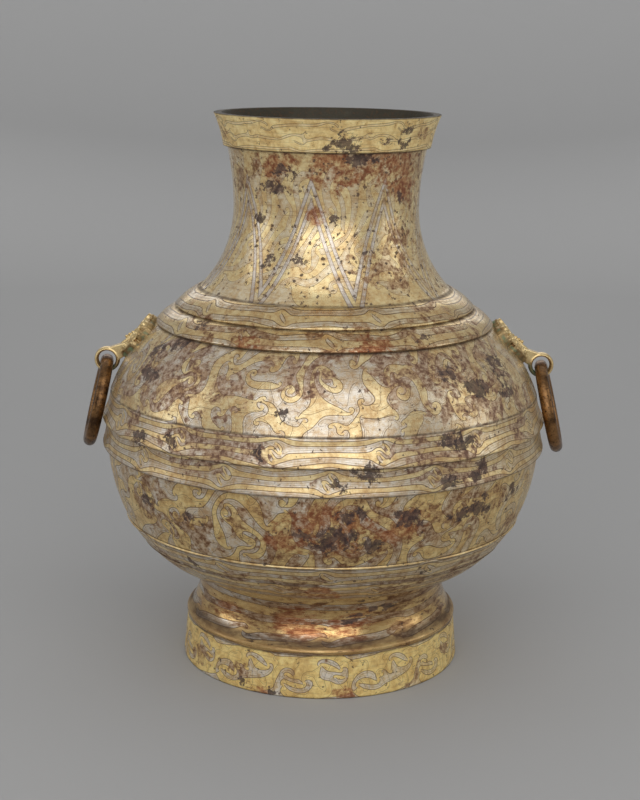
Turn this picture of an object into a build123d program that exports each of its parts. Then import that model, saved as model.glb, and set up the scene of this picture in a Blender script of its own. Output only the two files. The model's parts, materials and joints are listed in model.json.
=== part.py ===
"""Bronze hu vessel: a lathe-turned jar with a separate foot, two mask handles and two loose rings."""
import math
import os

from build123d import *

# Foot ring, millimetres
foot_height = 82.0
foot_base_radius = 115.5
foot_band_height = 35.3
foot_band_taper = 3.1
foot_bead_height = 5.4
foot_bead_proud = 1.3
foot_waist_inset = 4.6
foot_waist_lift = 2.0
foot_wall = 3.8
foot_inner_run = 9.0

# Bowl zones, each a rise above the zone below it
seat_radius = 107.0
underside_rise = 8.0
underside_radius = 131.9
underside_swell = 1.0
base_band_rise = 34.0
base_band_radius = 161.7
base_band_swell = 2.6
lower_zone_rise = 59.8
lower_zone_swell = 3.3
belly_radius = 177.3
girdle_rise = 21.7
upper_zone_inset = 2.8
upper_zone_rise = 54.9
upper_zone_swell = 4.8
shoulder_radius = 134.5
collar_rise = 13.9
neck_foot_radius = 102.5
neck_waist_radius = 74.6
neck_waist_rise = 67.0
mouth_rise = 73.1
mouth_flare = 13.2

# Raised work on the bowl
lip_thickness = 1.3
girdle_proud = 4.0
girdle_recess = 1.0
collar_proud = 2.6
rim_band_height = 25.8
rim_band_proud = 2.9
bead_radius = 1.1
groove_rise = 16.0
groove_depth = 0.8
wall = 3.2
bottom_thickness = 4.5
spigot_depth = 4.0
spigot_ledge = 3.0
spigot_clearance = 0.15

# Animal masks on the shoulder
mask_share = 0.655
mask_half_width = 26.0
mask_top = 20.0
mask_bottom = 19.0
mask_plate = 2.6
mask_relief = 1.9
mask_root = 6.0
solder_gap = 0.1
eye_radius = 4.3
eye_spacing = 19.0
nose_width = 8.6
nose_height = 4.4

# Rivets that hold the masks
rivet_radius = 2.0
rivet_clearance = 0.06
rivet_head_radius = 3.1
rivet_head_height = 1.9
rivet_head_sink = 1.2
rivet_peen = 1.6
rivet_edge = 6.5
rivet_level = 0.5

# Snout loops and the rings that hang in them
loop_drop = 31.0
loop_standoff = 8.4
loop_width = 9.5
loop_strap = 3.4
ring_bar_radius = 5.1
ring_radius = 33.7
ring_play = 2.0
ring_rest_gap = 0.35
ring_yaw = 7.0

# Heights of the zone edges above the floor
underside_height = foot_height + underside_rise
base_band_height = underside_height + base_band_rise
girdle_height = base_band_height + lower_zone_rise
girdle_middle = girdle_height + girdle_rise
girdle_top = girdle_middle + girdle_rise
shoulder_height = girdle_top + upper_zone_rise
collar_middle = shoulder_height + collar_rise
neck_foot_height = collar_middle + collar_rise
neck_waist_height = neck_foot_height + neck_waist_rise
mouth_height = neck_waist_height + mouth_rise
upper_zone_radius = belly_radius - upper_zone_inset
collar_middle_radius = (shoulder_radius + neck_foot_radius) / 2
spigot_radius = seat_radius - foot_waist_inset - foot_wall + spigot_ledge
foot_band_radius = foot_base_radius - foot_band_taper
foot_waist_radius = seat_radius - foot_waist_inset
foot_waist_height = (foot_height + foot_band_height + foot_bead_height) / 2
rivet_spacing = 2 * (mask_half_width - rivet_edge)

# The upper belly's curve in the radius and height plane, which also carries the masks
upper_zone = SagittaArc(
    (upper_zone_radius, girdle_top), (shoulder_radius, shoulder_height), -upper_zone_swell
)
mask_point = upper_zone @ mask_share
mask_slope = upper_zone % mask_share
mask_normal = (mask_slope.Y, 0, -mask_slope.X)
mask_plane = Plane(origin=(mask_point.X, 0, mask_point.Y), x_dir=(0, 1, 0), z_dir=mask_normal)
loop_spot = mask_plane.from_local_coords((0, -loop_drop, loop_standoff))
loop_hole_radius = ring_bar_radius + ring_play
loop_radius = loop_hole_radius + loop_strap
ring_hang = ring_play - ring_rest_gap
pivot = Vector(loop_spot.X, 0, loop_spot.Z - ring_hang)
swing_axis = Vector(-math.sin(math.radians(ring_yaw)), -math.cos(math.radians(ring_yaw)), 0)
swing_out = Vector(math.cos(math.radians(ring_yaw)), -math.sin(math.radians(ring_yaw)), 0)


# Corners of the plain bowl from the foot's seat to the foot of the neck, and the swell of each side
bowl_corners = [
    (seat_radius, foot_height),
    (underside_radius, underside_height),
    (base_band_radius, base_band_height),
    (belly_radius, girdle_height),
    (belly_radius, girdle_middle),
    (upper_zone_radius, girdle_top),
    (shoulder_radius, shoulder_height),
    (neck_foot_radius, neck_foot_height),
]
bowl_swells = [underside_swell, base_band_swell, lower_zone_swell, 0, 0, upper_zone_swell, 0]


def bowl_outline(floor, top, inset):
    """Half section of the plain bowl, moved inwards by the inset, from the floor points up to the top."""
    corners = []
    for place, corner in enumerate(bowl_corners):
        before = bowl_corners[max(place - 1, 0)]
        after = bowl_corners[min(place + 1, len(bowl_corners) - 1)]
        run = math.hypot(after[0] - before[0], after[1] - before[1])
        inward = inset * (after[1] - before[1]) / run
        upward = inset * (after[0] - before[0]) / run
        corners.append((corner[0] - inward, corner[1] + upward))
    waist = (neck_waist_radius - inset, neck_waist_height)
    flare_circle = (mouth_flare**2 + mouth_rise**2) / (2 * mouth_flare)
    flare_reach = math.sqrt(flare_circle**2 - (top - neck_waist_height) ** 2)
    rim = (waist[0] + flare_circle - flare_reach, top)
    with BuildLine() as outline:
        Polyline(*floor, corners[0])
        for start, end, swell in zip(corners, corners[1:], bowl_swells):
            if swell:
                SagittaArc(start, end, -swell)
            else:
                Line(start, end)
        TangentArc(waist, corners[-1], tangent=(0, -1))
        TangentArc(waist, rim, tangent=(0, 1))
        Polyline(rim, (0, top), floor[0])
    return outline.line


def raised_band(points, sagitta):
    """Closed ring section: a curved face between the first two points, then straight sides."""
    with BuildLine() as section:
        SagittaArc(points[0], points[1], sagitta)
        Polyline(*points[1:], points[0])
    return section.line


# Bowl with its raised bands, still solid
with BuildPart() as filled_bowl:
    with BuildSketch(Plane.YZ):
        spigot_foot = foot_height - spigot_depth
        add(
            bowl_outline(
                [(0, spigot_foot), (spigot_radius, spigot_foot), (spigot_radius, foot_height)],
                mouth_height,
                0,
            )
        )
        make_face()
    revolve(axis=Axis.Z)
    # Two girdles round the belly, each a cove that flares down to a lip
    lip_radius = belly_radius + girdle_proud
    girdle_root = upper_zone_radius - wall / 2
    with BuildSketch(Plane.YZ):
        add(
            raised_band(
                [
                    (upper_zone_radius + 0.2, girdle_top - 0.4),
                    (lip_radius, girdle_middle + lip_thickness),
                    (lip_radius, girdle_middle),
                    (girdle_root, girdle_middle),
                    (girdle_root, girdle_top - 0.4),
                ],
                -1.3,
            )
        )
        make_face()
        add(
            raised_band(
                [
                    (belly_radius + girdle_recess, girdle_middle),
                    (lip_radius, girdle_height + lip_thickness),
                    (lip_radius, girdle_height),
                    (girdle_root, girdle_height),
                    (girdle_root, girdle_middle),
                ],
                -0.9,
            )
        )
        make_face()
    revolve(axis=Axis.Z)
    # Two overlapping collars between shoulder and neck
    with BuildSketch(Plane.YZ):
        add(
            raised_band(
                [
                    (collar_middle_radius + 0.6, collar_middle + 0.6),
                    (shoulder_radius + collar_proud, shoulder_height + lip_thickness),
                    (shoulder_radius + collar_proud - 0.6, shoulder_height),
                    (shoulder_radius - wall / 2, shoulder_height - 1.0),
                    (collar_middle_radius - wall / 2, collar_middle - 1.0),
                ],
                1.5,
            )
        )
        make_face()
        add(
            raised_band(
                [
                    (neck_foot_radius + 0.6, neck_foot_height + 0.6),
                    (collar_middle_radius + collar_proud, collar_middle + lip_thickness),
                    (collar_middle_radius + collar_proud - 0.6, collar_middle),
                    (collar_middle_radius - wall / 2, collar_middle - 1.0),
                    (neck_foot_radius - wall / 2, neck_foot_height - 1.0),
                ],
                1.2,
            )
        )
        make_face()
    revolve(axis=Axis.Z)
    # Raised band under the lip of the mouth
    mouth_radius = neck_waist_radius + mouth_flare
    band_foot = mouth_height - rim_band_height
    neck_circle = (mouth_flare**2 + mouth_rise**2) / (2 * mouth_flare)
    neck_reach = math.sqrt(neck_circle**2 - (band_foot - neck_waist_height) ** 2)
    band_root = neck_waist_radius + neck_circle - neck_reach
    with BuildSketch(Plane.YZ):
        add(
            raised_band(
                [
                    (band_root + rim_band_proud, band_foot),
                    (mouth_radius + rim_band_proud, mouth_height),
                    (mouth_radius - wall / 2, mouth_height),
                    (band_root - wall / 2, band_foot),
                ],
                0.9,
            )
        )
        make_face()
    revolve(axis=Axis.Z)
    # Fine bead that parts the lower belly from the striped band under it
    with BuildSketch(Plane.YZ):
        with Locations((base_band_radius + 0.2, base_band_height)):
            Circle(bead_radius)
    revolve(axis=Axis.Z)
    # Fine groove half way down that striped band
    base_band = SagittaArc(bowl_corners[1], bowl_corners[2], -base_band_swell)
    groove_spot = base_band @ (groove_rise / base_band_rise)
    with BuildSketch(Plane.YZ):
        with Locations((groove_spot.X, groove_spot.Y)):
            Circle(groove_depth)
    revolve(axis=Axis.Z, mode=Mode.SUBTRACT)

# Rivets stand along the mask's own normal, one at each cheek
rivet_spots = [(-rivet_spacing / 2, rivet_level), (rivet_spacing / 2, rivet_level)]
left_mask_plane = Plane(
    origin=(-mask_point.X, 0, mask_point.Y),
    x_dir=(0, -1, 0),
    z_dir=(-mask_normal[0], 0, mask_normal[2]),
)

# Vessel body: the bowl hollowed to an even wall and open at the mouth, with holes for the rivets
with BuildPart() as vessel_body:
    add(filled_bowl.part)
    inner_floor = foot_height - spigot_depth + bottom_thickness
    with BuildSketch(Plane.YZ):
        add(bowl_outline([(0, inner_floor), (0.8 * spigot_radius, inner_floor)], mouth_height + wall, wall))
        make_face()
    revolve(axis=Axis.Z, mode=Mode.SUBTRACT)
    for seat in (mask_plane, left_mask_plane):
        with BuildSketch(seat.offset(mask_root)):
            with Locations(*rivet_spots):
                Circle(rivet_radius + rivet_clearance)
        extrude(amount=-mask_root - 4 * wall, mode=Mode.SUBTRACT)

# Foot ring: flared band, bead and hollow waist, with a rebate that takes the bowl's spigot
with BuildPart() as foot_ring:
    bead_foot = foot_band_height
    bead_top = foot_band_height + foot_bead_height
    waist_inner = foot_waist_radius - foot_wall
    rebate_radius = spigot_radius + spigot_clearance
    rebate_height = foot_height - spigot_depth - spigot_clearance
    with BuildSketch(Plane.YZ):
        with BuildLine():
            Line((foot_base_radius, 0), (foot_band_radius, bead_foot))
            SagittaArc(
                (foot_band_radius, bead_foot),
                (foot_band_radius - foot_bead_proud, bead_top),
                -foot_bead_proud,
            )
            ThreePointArc(
                (foot_band_radius - foot_bead_proud, bead_top),
                (foot_waist_radius, foot_waist_height + foot_waist_lift),
                (seat_radius, foot_height),
            )
            Polyline(
                (seat_radius, foot_height),
                (rebate_radius, foot_height),
                (rebate_radius, rebate_height),
                (waist_inner, rebate_height),
                (waist_inner, foot_waist_height),
            )
            TangentArc(
                (waist_inner, foot_waist_height),
                (foot_band_radius - foot_wall, foot_inner_run),
                tangent=(0, -1),
            )
            Polyline(
                (foot_band_radius - foot_wall, foot_inner_run),
                (foot_base_radius - foot_wall, 0),
                (foot_base_radius, 0),
            )
        make_face()
    revolve(axis=Axis.Z)
    bottom_edges = foot_ring.edges().group_by(Axis.Z)[0]
    chamfer(bottom_edges, length=0.6)


def mask_outline(width, top, bottom):
    """Half outline of the animal mask: crown point, horn, ear, cheek and jaw."""
    with BuildLine() as outline:
        Line((0, top), (0.2 * width, 0.72 * top))
        ThreePointArc((0.2 * width, 0.72 * top), (0.55 * width, 0.99 * top), (0.9 * width, 0.78 * top))
        ThreePointArc((0.9 * width, 0.78 * top), (width, 0.42 * top), (0.84 * width, 0.12 * top))
        ThreePointArc((0.84 * width, 0.12 * top), (0.98 * width, -0.1 * bottom), (0.84 * width, -0.32 * bottom))
        ThreePointArc((0.84 * width, -0.32 * bottom), (0.66 * width, -0.64 * bottom), (0.4 * width, -0.8 * bottom))
        Polyline((0.4 * width, -0.8 * bottom), (0.3 * width, -bottom), (0, -bottom), (0, top))
    return outline.line


# Right mask: plate, brows, horns, cheeks, eyes and the nose that ends in the loop
with BuildPart() as right_mask:
    with BuildSketch(mask_plane.offset(-mask_root)):
        add(mask_outline(mask_half_width, mask_top, mask_bottom))
        make_face()
        mirror(about=Plane.YZ)
    extrude(amount=mask_root + mask_plate)
    for hand in (-1, 1):
        brow_root = (hand * 0.1 * mask_half_width, 0.16 * mask_top)
        brow_end = (hand * 0.86 * mask_half_width, 0.26 * mask_top)
        with BuildSketch(mask_plane.offset(mask_plate - 0.5)):
            with BuildLine():
                ThreePointArc(brow_root, (hand * 0.46 * mask_half_width, 0.66 * mask_top), brow_end)
                ThreePointArc(brow_end, (hand * 0.46 * mask_half_width, 0.42 * mask_top), brow_root)
            make_face()
        extrude(amount=mask_relief + 0.5)
        with BuildSketch(mask_plane.offset(mask_plate - 0.5)):
            with Locations((hand * 0.68 * mask_half_width, 0.74 * mask_top)):
                Circle(0.2 * mask_half_width)
                Circle(0.13 * mask_half_width, mode=Mode.SUBTRACT)
                Circle(0.06 * mask_half_width)
            with Locations((hand * 0.56 * mask_half_width, -0.48 * mask_bottom)):
                Circle(0.16 * mask_half_width)
                Circle(0.08 * mask_half_width, mode=Mode.SUBTRACT)
        extrude(amount=0.7 * mask_relief + 0.5)
        with BuildSketch(mask_plane.offset(mask_plate - 0.5)):
            with Locations((hand * eye_spacing / 2, 0)):
                Circle(1.25 * eye_radius)
        extrude(amount=0.4 * mask_relief + 0.5)
        with Locations(mask_plane.offset(mask_plate)):
            with Locations((hand * eye_spacing / 2, 0, -0.3 * eye_radius)):
                Sphere(eye_radius)
    with BuildSketch(mask_plane.offset(mask_plate - 0.5)):
        with BuildLine():
            Polyline(
                (0, 0.94 * mask_top),
                (0.14 * mask_half_width, 0.66 * mask_top),
                (0, 0.42 * mask_top),
                (-0.14 * mask_half_width, 0.66 * mask_top),
                close=True,
            )
        make_face()
    extrude(amount=0.8 * mask_relief + 0.5)
    # The nose rises from the brows, stands off the plate and runs on as the snout to the loop
    forehead = mask_plane.from_local_coords((0, 0.4 * mask_top, mask_plate - 0.5))
    nose_crest = mask_plane.from_local_coords((0, -0.6 * mask_bottom, mask_plate + nose_height))
    nose_root = mask_plane.from_local_coords((0, -0.6 * mask_bottom, -mask_root))
    with BuildSketch(Plane.XZ):
        with BuildLine():
            Polyline(
                (forehead.X, forehead.Z),
                (nose_crest.X, nose_crest.Z),
                (loop_spot.X + 0.2 * loop_radius, loop_spot.Z + 0.85 * loop_radius),
                (loop_spot.X - 0.85 * loop_radius, loop_spot.Z - 0.2 * loop_radius),
                (nose_root.X, nose_root.Z),
                close=True,
            )
        make_face()
    extrude(amount=nose_width / 2, both=True)
    with Locations(mask_plane.offset(mask_plate)):
        with Locations((0.5 * nose_width, -0.72 * mask_bottom, 1.0), (-0.5 * nose_width, -0.72 * mask_bottom, 1.0)):
            Sphere(0.36 * nose_width)
    # The hole for the ring is flared so that the bar can turn in it
    loop_plane = Plane(origin=loop_spot, x_dir=(1, 0, 0), z_dir=(0, 0, 1))
    loop_axis = Axis(loop_spot, (0, 1, 0))
    strap_middle = loop_hole_radius + loop_strap / 2
    with BuildSketch(loop_plane):
        with Locations((strap_middle / 2, 0)):
            Rectangle(strap_middle, 2 * loop_width)
        with Locations((strap_middle, 0)):
            Ellipse(loop_strap / 2, loop_width / 2, mode=Mode.SUBTRACT)
    revolve(axis=loop_axis, mode=Mode.SUBTRACT)
    with BuildSketch(loop_plane):
        with Locations((strap_middle, 0)):
            Ellipse(loop_strap / 2, loop_width / 2)
    revolve(axis=loop_axis)
    # The back follows the shoulder with room for solder
    with Locations((solder_gap * mask_normal[0], 0, solder_gap * mask_normal[2])):
        add(filled_bowl.part, mode=Mode.SUBTRACT)
    # Rivet holes with flat seats for the heads
    with BuildSketch(mask_plane.offset(mask_plate - rivet_head_sink)):
        with Locations(*rivet_spots):
            Circle(rivet_head_radius + rivet_clearance)
    extrude(amount=4 * mask_relief, mode=Mode.SUBTRACT)
    with BuildSketch(mask_plane.offset(mask_plate)):
        with Locations(*rivet_spots):
            Circle(rivet_radius + rivet_clearance)
    extrude(amount=-2 * mask_root, mode=Mode.SUBTRACT)

# Right rivets: shank through mask and wall, a low head in the mask and a peened head inside
with BuildPart() as right_mask_rivets:
    head_seat = mask_plate - rivet_head_sink
    inner_side = wall + rivet_peen
    with BuildSketch(mask_plane.offset(-inner_side)):
        with Locations(*rivet_spots):
            Circle(rivet_radius)
    extrude(amount=inner_side + head_seat)
    with BuildSketch(mask_plane.offset(head_seat)):
        with Locations(*rivet_spots):
            Circle(rivet_head_radius)
    extrude(amount=rivet_head_height, taper=24)
    with BuildSketch(mask_plane.offset(-inner_side)):
        with Locations(*rivet_spots):
            Circle(rivet_head_radius)
    extrude(amount=-0.7 * rivet_head_height, taper=24)


def ring_direction(tilt):
    """Direction from the pivot to the ring's centre for a tilt away from the vessel, in degrees."""
    lean = math.radians(tilt)
    return swing_out * math.sin(lean) + Vector(0, 0, -math.cos(lean))


def ring_gap(tilt):
    """Smallest distance from the ring's bar to the two girdle lips at a tilt."""
    centre = pivot + ring_direction(tilt) * ring_radius
    smallest = 1000.0
    for step in range(180):
        turn = math.radians(2 * step)
        spot = centre + swing_axis * (ring_radius * math.cos(turn))
        spot = spot + ring_direction(tilt) * (ring_radius * math.sin(turn))
        reach = math.hypot(spot.X, spot.Y)
        for lip in (girdle_height + lip_thickness, girdle_middle + lip_thickness):
            smallest = min(smallest, math.hypot(reach - lip_radius, spot.Z - lip))
    return smallest - ring_bar_radius


# The rings lean on the girdle: find the tilt that leaves the rest gap
low_tilt = 0.0
high_tilt = 60.0
for attempt in range(30):
    middle_tilt = (low_tilt + high_tilt) / 2
    if ring_gap(middle_tilt) < ring_rest_gap:
        low_tilt = middle_tilt
    else:
        high_tilt = middle_tilt
rest_tilt = high_tilt

# Right ring: a plain round bar
with BuildPart() as right_ring:
    ring_centre = pivot + ring_direction(rest_tilt) * ring_radius
    ring_plane = Plane(
        origin=ring_centre,
        x_dir=swing_axis,
        z_dir=swing_axis.cross(ring_direction(rest_tilt)),
    )
    with Locations(ring_plane):
        Torus(ring_radius, ring_bar_radius)

# The left handle mirrors the right one
with BuildPart() as left_mask:
    mirror(right_mask.part, about=Plane.YZ)
with BuildPart() as left_mask_rivets:
    mirror(right_mask_rivets.part, about=Plane.YZ)
with BuildPart() as left_ring:
    mirror(right_ring.part, about=Plane.YZ)

# Hand the pieces over
vessel_body.part.label = "vessel_body"
foot_ring.part.label = "foot_ring"
left_mask.part.label = "left_mask"
right_mask.part.label = "right_mask"
left_mask_rivets.part.label = "left_mask_rivets"
right_mask_rivets.part.label = "right_mask_rivets"
left_ring.part.label = "left_ring"
right_ring.part.label = "right_ring"
os.makedirs("parts", exist_ok=True)
export_step(vessel_body.part, "parts/vessel_body.step")
export_step(foot_ring.part, "parts/foot_ring.step")
export_step(left_mask.part, "parts/left_mask.step")
export_step(right_mask.part, "parts/right_mask.step")
export_step(left_mask_rivets.part, "parts/left_mask_rivets.step")
export_step(right_mask_rivets.part, "parts/right_mask_rivets.step")
export_step(left_ring.part, "parts/left_ring.step")
export_step(right_ring.part, "parts/right_ring.step")
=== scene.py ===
import json
import math

import bpy
from mathutils import Matrix, Vector

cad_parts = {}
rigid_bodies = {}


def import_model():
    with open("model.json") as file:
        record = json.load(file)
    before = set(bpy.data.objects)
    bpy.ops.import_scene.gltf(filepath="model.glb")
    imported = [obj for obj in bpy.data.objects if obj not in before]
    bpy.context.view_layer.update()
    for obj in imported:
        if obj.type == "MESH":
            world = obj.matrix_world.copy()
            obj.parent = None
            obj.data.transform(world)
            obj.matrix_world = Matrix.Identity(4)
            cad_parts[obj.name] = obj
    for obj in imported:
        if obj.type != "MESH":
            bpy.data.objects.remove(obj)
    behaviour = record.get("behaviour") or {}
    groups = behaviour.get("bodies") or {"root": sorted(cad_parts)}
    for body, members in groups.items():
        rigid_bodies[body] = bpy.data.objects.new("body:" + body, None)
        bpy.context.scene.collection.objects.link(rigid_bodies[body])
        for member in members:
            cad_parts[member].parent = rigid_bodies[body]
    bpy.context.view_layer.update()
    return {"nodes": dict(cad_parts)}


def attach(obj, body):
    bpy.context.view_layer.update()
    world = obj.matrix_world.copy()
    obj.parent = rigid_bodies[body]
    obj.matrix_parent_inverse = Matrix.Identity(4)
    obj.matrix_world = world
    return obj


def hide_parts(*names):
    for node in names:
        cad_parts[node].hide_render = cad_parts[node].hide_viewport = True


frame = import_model()

# Foot ring
# The high foot is a bronze casting of its own: a flared band, a bead and a hollow waist,
# turned true, soldered to the bowl, then gilded with silvered cloud scrolls on the band.


def swollen(start, end, swell, count):
    """Points of a gently curved side from start to end; a positive swell stands out on the right hand."""
    run, rise = end[0] - start[0], end[1] - start[1]
    length = math.hypot(run, rise)
    points = []
    for step in range(1, count + 1):
        share = step / count
        out = 4 * swell * share * (1 - share) / length
        points.append((start[0] + run * share + rise * out, start[1] + rise * share - run * out))
    return points


def turned(name, section, steps, closed):
    """A lathe-turned piece: the half section, in millimetres, is drawn as a chain and spun once round."""
    bpy.ops.object.select_all(action="DESELECT")
    bpy.ops.mesh.primitive_plane_add(size=0.001, location=(0, 0, 0))
    piece = bpy.context.object
    piece.name = piece.data.name = name
    bpy.ops.object.mode_set(mode="EDIT")
    bpy.ops.mesh.select_all(action="SELECT")
    bpy.ops.mesh.merge(type="CENTER")
    chain = section + section[:1] if closed else section
    bpy.ops.transform.translate(value=(0, -chain[0][0] / 1000, chain[0][1] / 1000))
    for here, there in zip(chain, chain[1:]):
        move = (0, (here[0] - there[0]) / 1000, (there[1] - here[1]) / 1000)
        bpy.ops.mesh.extrude_region_move(TRANSFORM_OT_translate={"value": move})
    bpy.ops.mesh.select_all(action="SELECT")
    bpy.ops.mesh.remove_doubles(threshold=0.000002)
    bpy.ops.mesh.spin(steps=steps, angle=2 * math.pi, center=(0, 0, 0), axis=(0, 0, 1))
    bpy.ops.mesh.select_all(action="SELECT")
    bpy.ops.mesh.remove_doubles(threshold=0.000004)
    bpy.ops.mesh.normals_make_consistent(inside=False)
    bpy.ops.object.mode_set(mode="OBJECT")
    return piece


def pick(piece):
    """Selects one piece alone and makes it the active one."""
    bpy.ops.object.select_all(action="DESELECT")
    piece.select_set(True)
    bpy.context.view_layer.objects.active = piece


def soften_edges(piece, width):
    """Rubs the sharp turned edges down by a fraction of a millimetre and smooths the rest."""
    pick(piece)
    worn = piece.modifiers.new("worn edges", "BEVEL")
    worn.width = width / 1000
    worn.segments = 2
    worn.limit_method = "ANGLE"
    worn.angle_limit = math.radians(38)
    bpy.ops.object.modifier_apply(modifier=worn.name)
    bpy.ops.object.shade_smooth_by_angle(angle=math.radians(50))


foot_base_radius = 115.5
foot_band_radius = 112.4
foot_band_height = 35.3
foot_bead_top = 40.7
foot_bead_radius = 111.1
foot_bead_swell = 1.3
foot_waist_hollow = 6.75
foot_height = 82.0
seat_radius = 107.0
spigot_radius = 101.6
waist_inner_radius = 98.6
foot_wall = 3.8
foot_edge = 0.6
socket_radius = spigot_radius + 0.15
socket_floor = 77.85
waist_inner_foot = 61.4
inner_hollow = 3.0
band_inner_foot = 9.0
foot_section = [(foot_base_radius - foot_edge, 0), (foot_base_radius, foot_edge)]
foot_section += swollen(foot_section[-1], (foot_band_radius, foot_band_height), 0, 14)
foot_section += swollen(foot_section[-1], (foot_bead_radius, foot_bead_top), foot_bead_swell, 8)
foot_section += swollen(foot_section[-1], (seat_radius, foot_height), -foot_waist_hollow, 24)
foot_section += [(socket_radius, foot_height), (socket_radius, socket_floor)]
foot_section.append((waist_inner_radius, socket_floor))
foot_section += swollen(foot_section[-1], (waist_inner_radius, waist_inner_foot), 0, 4)
foot_section += swollen(foot_section[-1], (foot_band_radius - foot_wall, band_inner_foot), inner_hollow, 14)
foot_section += swollen(foot_section[-1], (foot_base_radius - foot_wall, 0), 0, 3)
foot = turned("gilded_foot", foot_section, 240, True)
soften_edges(foot, 0.3)


def linear(colour):
    """An sRGB hex colour as the linear colour that shaders take."""
    parts = [int(colour[place : place + 2], 16) / 255 for place in (1, 3, 5)]
    return [part / 12.92 if part <= 0.04045 else ((part + 0.055) / 1.055) ** 2.4 for part in parts] + [1.0]


def add(tree, kind, inputs=(), out=0, **settings):
    """Adds one shader node with its settings and hands back one output. A kind may name its operation after
    a space. Inputs, in order or by place, are numbers, hex colours or the outputs of other nodes."""
    kind, *operation = kind.split()
    made = tree.nodes.new("ShaderNode" + kind)
    if operation:
        made.operation = operation[0]
    for name, value in settings.items():
        setattr(made, name, value)
    for place, value in inputs.items() if isinstance(inputs, dict) else enumerate(inputs):
        if isinstance(value, bpy.types.NodeSocket):
            tree.links.new(value, made.inputs[place])
        else:
            made.inputs[place].default_value = linear(value) if isinstance(value, str) else value
    return made.outputs[out] if made.outputs else None


# Settings with which a Mix node blends two colours
in_colour = {"out": 2, "data_type": "RGBA"}


def new_finish(name):
    """An empty material, its node tree and the place on the piece in millimetres."""
    finish = bpy.data.materials.new(name)
    finish.use_nodes = True
    tree = finish.node_tree
    tree.nodes.clear()
    place = add(tree, "VectorMath SCALE", {0: add(tree, "TexCoord", out="Object"), "Scale": 1000})
    return finish, tree, place


def metal_skin(tree, colour, metal, rough, relief, strength, depth):
    """Ends a bronze finish: its colour, metal, roughness and a fine relief, its depth in millimetres."""
    normal = add(tree, "Bump", {"Height": relief, "Strength": strength, "Distance": depth / 1000})
    skin = {"Base Color": colour, "Metallic": metal, "Roughness": rough, "Normal": normal}
    add(tree, "OutputMaterial", {"Surface": add(tree, "BsdfPrincipled", skin)})


def round_the_jar(tree, place, radius, level, sway):
    """Where a spot lies on the turned surface: its turn from the front, then in millimetres its way round,
    its swayed height and its height above a level. The sway keeps the scrolls from repeating exactly."""
    apart = add(tree, "SeparateXYZ", [place]).node
    front = add(tree, "Math MULTIPLY", [apart.outputs[1], -1])
    turn = add(tree, "Math ARCTAN2", [apart.outputs[0], front])
    drift = add(tree, "TexNoise", {"Vector": place, "Scale": 0.035, "Detail": 1.0}, out="Color")
    drift = add(tree, "VectorMath SUBTRACT", [drift, (0.5, 0.5, 0.5)])
    drift = add(tree, "VectorMath SCALE", {0: drift, "Scale": sway})
    drift = add(tree, "SeparateXYZ", [drift]).node
    along = add(tree, "Math MULTIPLY_ADD", [turn, radius, drift.outputs[0]])
    up = add(tree, "Math ADD", [apart.outputs[2], -level])
    swayed = add(tree, "Math ADD", [up, drift.outputs[1]])
    return turn, along, swayed, up


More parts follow.
